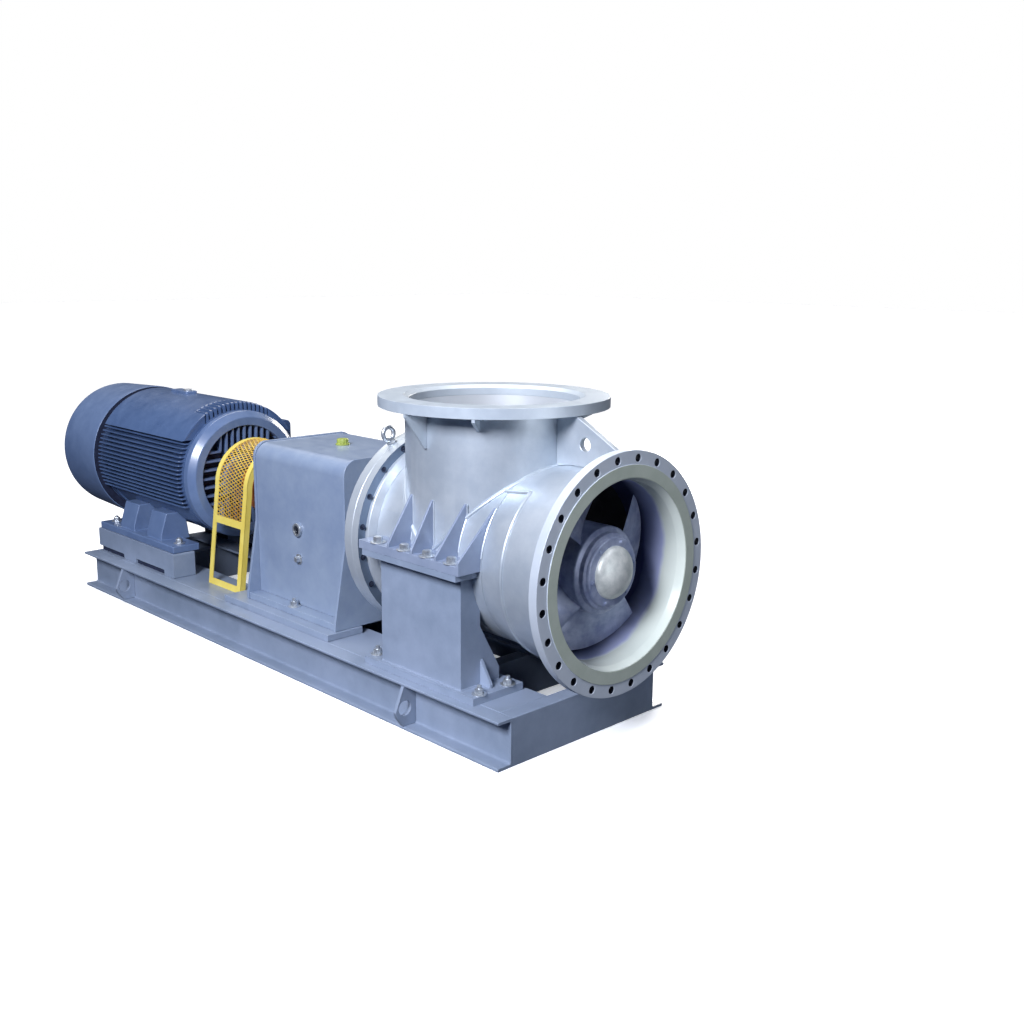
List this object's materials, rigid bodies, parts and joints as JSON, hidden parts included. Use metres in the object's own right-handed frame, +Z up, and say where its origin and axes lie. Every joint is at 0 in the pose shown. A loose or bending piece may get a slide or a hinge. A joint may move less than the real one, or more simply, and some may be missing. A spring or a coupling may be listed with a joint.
{
  "type": "axial flow pump",
  "caption": "Horizontal elbow-type axial-flow water pump with open suction and discharge flanges, bearing housing, guarded coupling and electric motor on a channel base frame.",
  "frame": {"origin": "middle of the base frame's footprint and of the overall length, on the ground", "axes": "+X along the shaft towards the suction flange, +Z up, +Y away from the pictured side"},
  "size_m": [3.85, 0.99, 1.249],
  "materials": {
    "frame_paint": "blue-grey enamel on welded steel, slightly glossy",
    "casing_paint": "silver-grey enamel with a blue cast, satin gloss",
    "housing_paint": "blue-grey enamel, satin",
    "motor_paint": "dark slate blue enamel, satin",
    "guard_paint": "yellow enamel on flat bar and mesh",
    "machined_steel": "turned steel, fine tool marks",
    "flange_face": "grey primer on the turned flange face",
    "liner": "cream white coating, smooth",
    "impeller_metal": "dark grey-blue cast metal, smooth",
    "zinc_steel": "bright zinc plating",
    "cap_plastic": "yellow-green moulded cap",
    "gauge_glass": "clear sight glass in a metal rim"
  },
  "bodies": {
    "pump_set": {"base_beam_near": "frame_paint", "base_beam_far": "frame_paint", "lifting_plate_front_near": "frame_paint", "lifting_plate_front_far": "frame_paint", "lifting_plate_rear_near": "frame_paint", "lifting_plate_rear_far": "frame_paint", "base_front_channel": "frame_paint", "base_rear_channel": "frame_paint", "base_cross_member_front": "frame_paint", "base_cross_member_middle": "frame_paint", "base_cross_member_rear": "frame_paint", "deck_plate_near": "frame_paint", "deck_plate_far": "frame_paint", "pedestal_near": "frame_paint", "pedestal_far": "frame_paint", "support_foot_near": "casing_paint", "support_foot_far": "casing_paint", "elbow_casing": "casing_paint", "discharge_flange": "casing_paint", "lifting_lug": "casing_paint", "suction_barrel": "casing_paint", "suction_flange": "flange_face", "wear_ring": "liner", "back_cover": "casing_paint", "shaft_gland": "machined_steel", "eye_bolt_near": "zinc_steel", "eye_bolt_far": "zinc_steel", "bearing_housing": "housing_paint", "housing_end_plate_front": "housing_paint", "housing_end_plate_rear": "housing_paint", "housing_foot_near": "housing_paint", "housing_foot_far": "housing_paint", "housing_pad_near": "frame_paint", "housing_pad_far": "frame_paint", "bearing_cover_front": "housing_paint", "bearing_cover_rear": "housing_paint", "oil_filler_cap": "cap_plastic", "oil_level_gauge": "gauge_glass", "oil_drain_plug": "zinc_steel", "coupling_guard": "guard_paint", "motor_stand_near": "frame_paint", "motor_stand_far": "frame_paint", "motor_frame": "motor_paint", "motor_fan_cowl": "motor_paint", "motor_drive_end_shield": "motor_paint", "motor_foot_near": "motor_paint", "motor_foot_far": "motor_paint", "motor_terminal_box": "motor_paint", "motor_lifting_boss": "motor_paint"},
    "rotor": {"pump_shaft": "machined_steel", "impeller_hub": "impeller_metal", "impeller_blade_1": "impeller_metal", "impeller_blade_2": "impeller_metal", "impeller_blade_3": "impeller_metal", "impeller_blade_4": "impeller_metal", "nose_cap": "machined_steel", "pump_coupling_half": "machined_steel", "motor_coupling_half": "machined_steel", "motor_shaft": "machined_steel"}
  },
  "joints": [
    {"name": "shaft_spin", "type": "hinge", "parent": "pump_set", "child": "rotor", "pos_m": [0, 0, 0.664], "axis": [1, 0, 0], "continuous": true}
  ]
}
